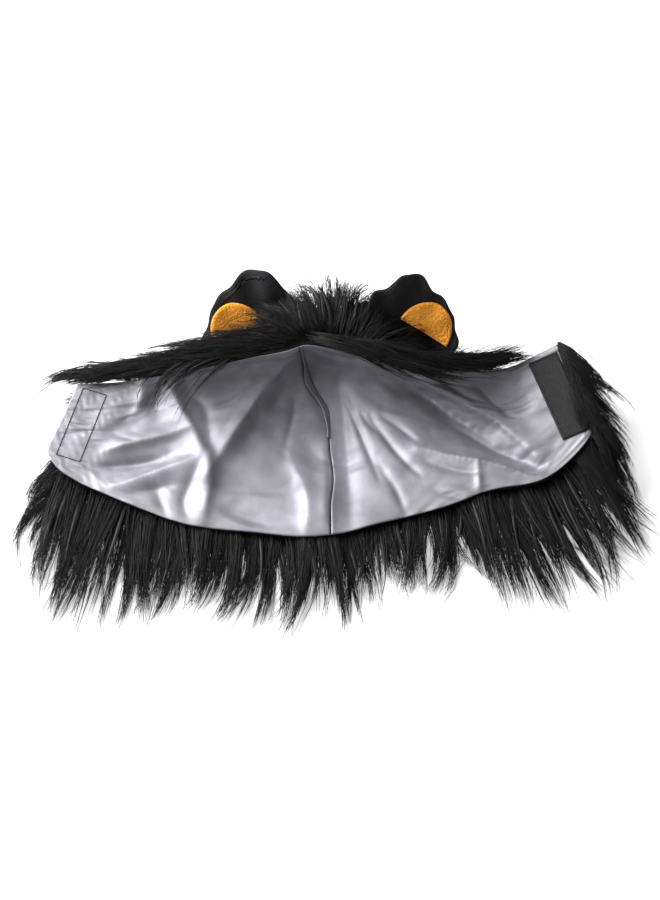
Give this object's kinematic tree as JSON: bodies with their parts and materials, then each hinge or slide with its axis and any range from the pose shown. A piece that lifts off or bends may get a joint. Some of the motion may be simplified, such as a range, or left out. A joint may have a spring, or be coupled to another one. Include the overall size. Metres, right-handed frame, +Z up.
{
  "type": "pet lion mane wig",
  "caption": "Open pet hood of long black fur with a satin lining, round fleece ears and a hook-and-loop chin closure, lying flat with its lining up.",
  "frame": {"origin": "middle of the bounding box's underside, on the surface that the wig lies on", "axes": "+X towards the end with the hook strip, +Y from the neck edge to the front edge with the ears, +Z up out of the lining"},
  "size_m": [0.5362, 0.325, 0.1075],
  "materials": {
    "satin": "silver-grey satin, glossy, fine weave",
    "fur": "long straight black pile with a silky sheen",
    "black_fleece": "matt black fleece",
    "orange_fleece": "matt orange fleece with a short curly nap",
    "hook_tape": "black woven tape with short stiff hooks",
    "loop_tape": "black woven tape with soft loops"
  },
  "bodies": {
    "root": {"lining_left": "satin", "lining_right": "satin", "seam_welt": "satin", "tab_facing": "satin", "fur_shell": "fur", "ear_left": "black_fleece", "ear_right": "black_fleece", "ear_patch_left": "orange_fleece", "ear_patch_right": "orange_fleece", "hook_strip": "hook_tape", "loop_strip": "loop_tape"}
  },
  "joints": []
}
